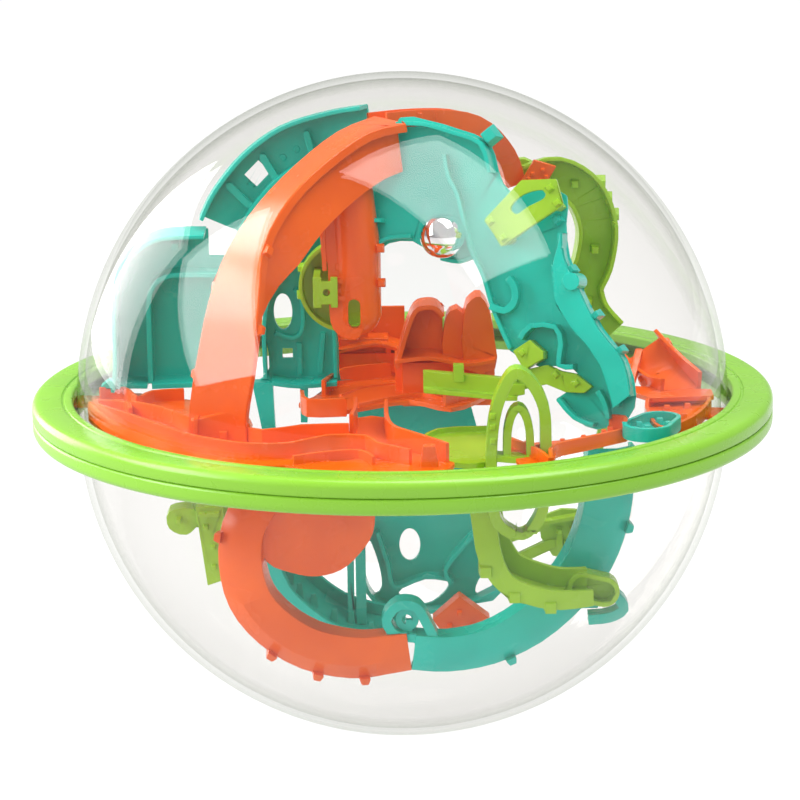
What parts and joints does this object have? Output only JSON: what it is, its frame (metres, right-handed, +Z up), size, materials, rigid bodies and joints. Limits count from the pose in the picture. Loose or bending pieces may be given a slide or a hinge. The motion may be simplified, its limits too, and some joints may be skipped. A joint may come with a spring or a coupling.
{
  "type": "maze ball puzzle",
  "caption": "Clear globe with a flat flange ring around its middle, holding a maze of moulded channels that a loose steel ball runs through.",
  "frame": {"origin": "centre of the globe, on the plane where the two halves meet", "axes": "+Z up along the ring's axis, through the poles of the two domes; +X to the right and +Y away from the side that shows the long slide"},
  "size_m": [0.216, 0.216, 0.194],
  "materials": {
    "clear_plastic": "polished clear",
    "lime_plastic": "gloss",
    "orange_plastic": "gloss",
    "teal_plastic": "gloss",
    "steel": "polished"
  },
  "bodies": {
    "globe": {"upper_dome": "clear_plastic", "lower_dome": "clear_plastic", "upper_ring": "lime_plastic", "lower_ring": "lime_plastic", "orange_arch": "orange_plastic", "orange_chute": "orange_plastic", "orange_top_back": "orange_plastic", "orange_base": "orange_plastic", "orange_center": "orange_plastic", "orange_back_steps": "orange_plastic", "orange_right_ramp": "orange_plastic", "orange_right_plate": "orange_plastic", "orange_front_rail": "orange_plastic", "orange_flag": "orange_plastic", "orange_lower_curve": "orange_plastic", "orange_lower_block": "orange_plastic", "teal_slide": "teal_plastic", "teal_back_arch": "teal_plastic", "teal_gate": "teal_plastic", "teal_center_panel": "teal_plastic", "teal_collar": "teal_plastic", "teal_lower_channel": "teal_plastic", "teal_lower_panel": "teal_plastic", "teal_bowl": "teal_plastic", "lime_disc": "lime_plastic", "lime_bridge": "lime_plastic", "lime_spiral": "lime_plastic", "lime_floor": "lime_plastic", "lime_strap": "lime_plastic", "lime_back_track": "lime_plastic", "lime_lower_curve": "lime_plastic", "lime_lower_left": "lime_plastic", "lime_panel": "lime_plastic"},
    "ball": {"steel_ball": "steel"}
  },
  "joints": [
    {"name": "ball_run", "type": "slide", "parent": "globe", "child": "ball", "axis": [-0.2555, 0.2722, 0.9277], "range_m": [0, 0.012]}
  ]
}
